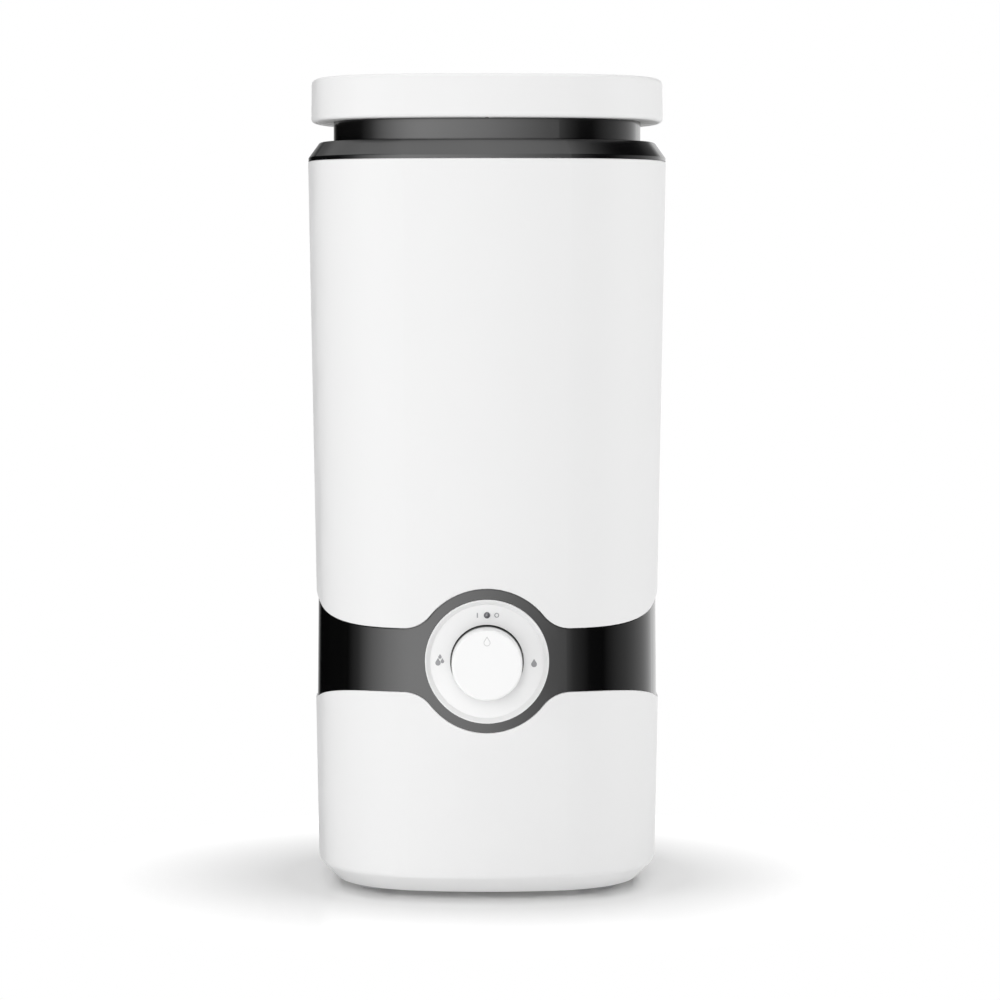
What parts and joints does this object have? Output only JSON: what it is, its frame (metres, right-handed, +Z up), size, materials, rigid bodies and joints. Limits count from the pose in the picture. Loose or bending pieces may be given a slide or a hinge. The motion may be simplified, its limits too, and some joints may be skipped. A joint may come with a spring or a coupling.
{
  "type": "cool mist humidifier",
  "caption": "Tall rounded-square ultrasonic cool mist humidifier: lift-off water tank and lid over a base with a black band and a round mist dial.",
  "frame": {"origin": "on the floor under the middle of the object's bounding box; the body's own upright axis is 7.0 mm behind it, because the knob stands out in front", "axes": "+Z up, +Y to the rear, -Y towards the user (dial side), +X to the user's right"},
  "size_m": [0.1684, 0.1822, 0.3759],
  "materials": {
    "white_gloss": "gloss",
    "white_satin": "satin",
    "black_gloss": "high gloss",
    "dark_satin": "satin",
    "dial_white": "gloss",
    "print_grey": "printed",
    "pointer_grey": "printed",
    "led_grey": "gloss",
    "foot_rubber": "matte",
    "black_rubber": "matte",
    "seal_rubber": "matte",
    "screw_steel": "zinc plated",
    "spring_steel": "bright",
    "nut_brass": "bright",
    "pot_metal": "stamped",
    "disc_metal": "polished",
    "heatsink_alu": "extruded",
    "board_green": "solder mask",
    "part_black": "moulded",
    "core_steel": "laminated",
    "winding_tape": "taped coil",
    "magnet_dark": "sintered"
  },
  "bodies": {
    "base": {"base_shell": "white_gloss", "screw_posts": "white_satin", "bottom_plate": "white_satin", "feet": "foot_rubber", "plate_screws": "screw_steel", "control_band": "black_gloss", "dial_plate": "dial_white", "dial_marks": "print_grey", "led_lens": "led_grey", "potentiometer": "pot_metal", "pot_nut": "nut_brass", "basin": "white_satin", "basin_rim": "white_satin", "basin_well": "white_satin", "air_stub": "white_satin", "basin_posts": "white_satin", "float_clip": "white_satin", "transducer_gasket": "black_rubber", "transducer_disc": "disc_metal", "transducer_clamp": "heatsink_alu", "clamp_screws": "screw_steel", "drive_board": "board_green", "board_screws": "screw_steel", "drive_heatsink": "heatsink_alu", "drive_parts": "part_black", "power_board": "board_green", "transformer": "core_steel", "windings": "winding_tape", "power_parts": "part_black", "fan_housing": "part_black", "air_duct": "white_satin", "cord_gland": "black_rubber"},
    "tank": {"tank_shell": "white_gloss", "tank_floor": "white_satin", "tank_chimney": "white_satin", "collar_ring": "dark_satin", "collar_gasket": "seal_rubber", "valve_cap": "white_satin", "cap_gasket": "seal_rubber", "valve_spring": "spring_steel"},
    "valve": {"valve_plunger": "white_satin", "valve_seal": "seal_rubber"},
    "float": {"float_ring": "white_satin", "float_magnet": "magnet_dark"},
    "fan": {"fan_rotor": "part_black"},
    "knob": {"knob": "dial_white", "knob_pointer": "pointer_grey", "knob_shaft": "pot_metal"},
    "lid": {"lid_cap": "white_gloss", "lid_underplate": "white_satin", "lid_neck": "dark_satin", "neck_flange": "dark_satin", "neck_floor": "dark_satin", "mist_guide": "dark_satin", "neck_seal": "seal_rubber", "lid_screws": "screw_steel"},
    "nozzle": {"nozzle": "white_gloss"}
  },
  "joints": [
    {"name": "tank_lift", "type": "slide", "parent": "base", "child": "tank", "axis": [0, 0, 1], "range_m": [0, 0.06]},
    {"name": "valve_slide", "type": "slide", "parent": "tank", "child": "valve", "axis": [0, 0, 1], "range_m": [-0.005, 0], "deforming": ["valve_spring"]},
    {"name": "float_rise", "type": "slide", "parent": "base", "child": "float", "axis": [0, 0, 1], "range_m": [0, 0.006]},
    {"name": "fan_spin", "type": "hinge", "parent": "base", "child": "fan", "pos_m": [-0.04, 0.007, 0.016], "axis": [0, 0, 1], "continuous": true},
    {"name": "knob_turn", "type": "hinge", "parent": "base", "child": "knob", "pos_m": [0, -0.08, 0.1099], "axis": [0, 1, 0], "range_deg": [0, 300]},
    {"name": "lid_lift", "type": "slide", "parent": "tank", "child": "lid", "axis": [0, 0, 1], "range_m": [0, 0.06]},
    {"name": "nozzle_turn", "type": "hinge", "parent": "lid", "child": "nozzle", "pos_m": [0, 0.007, 0.365], "axis": [0, 0, 1], "continuous": true}
  ],
  "couplings": [
    {"joint": "valve_slide", "follows": "tank_lift", "ratio": -0.0833}
  ]
}
